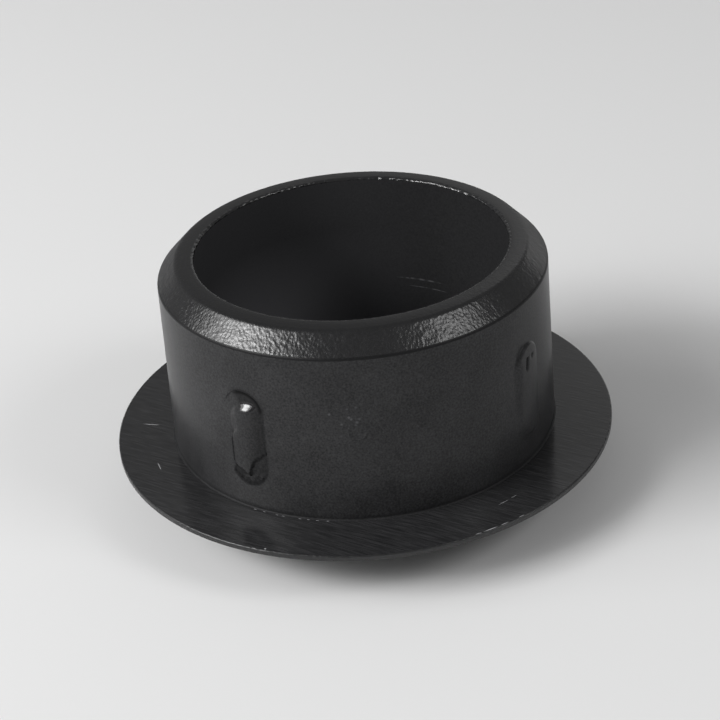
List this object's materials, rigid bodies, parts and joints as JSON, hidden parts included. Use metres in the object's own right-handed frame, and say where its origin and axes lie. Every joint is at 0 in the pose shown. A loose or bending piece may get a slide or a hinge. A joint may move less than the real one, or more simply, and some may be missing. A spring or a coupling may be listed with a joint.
{
  "type": "plastic hole plug",
  "caption": "Push-in plastic plug that closes a round hole in sheet metal: a thin domed head on a hollow skirt with raised snap ribs and a coned lead-in at its open end.",
  "frame": {"origin": "apex of the dome, the lowest point, on the plug's axis", "axes": "+Z along the plug's axis from the dome to the open end; the snap ribs stand on +X, +Y, -X and -Y, and the gate trace is 33 degrees from -Y towards +X"},
  "size_m": [0.018, 0.018, 0.0089],
  "materials": {
    "moulded_nylon": "black moulded nylon: spark-eroded grain on the dome and lead-in, satin skirt, ground seat"
  },
  "bodies": {
    "root": {"hole_plug": "moulded_nylon"}
  },
  "joints": []
}
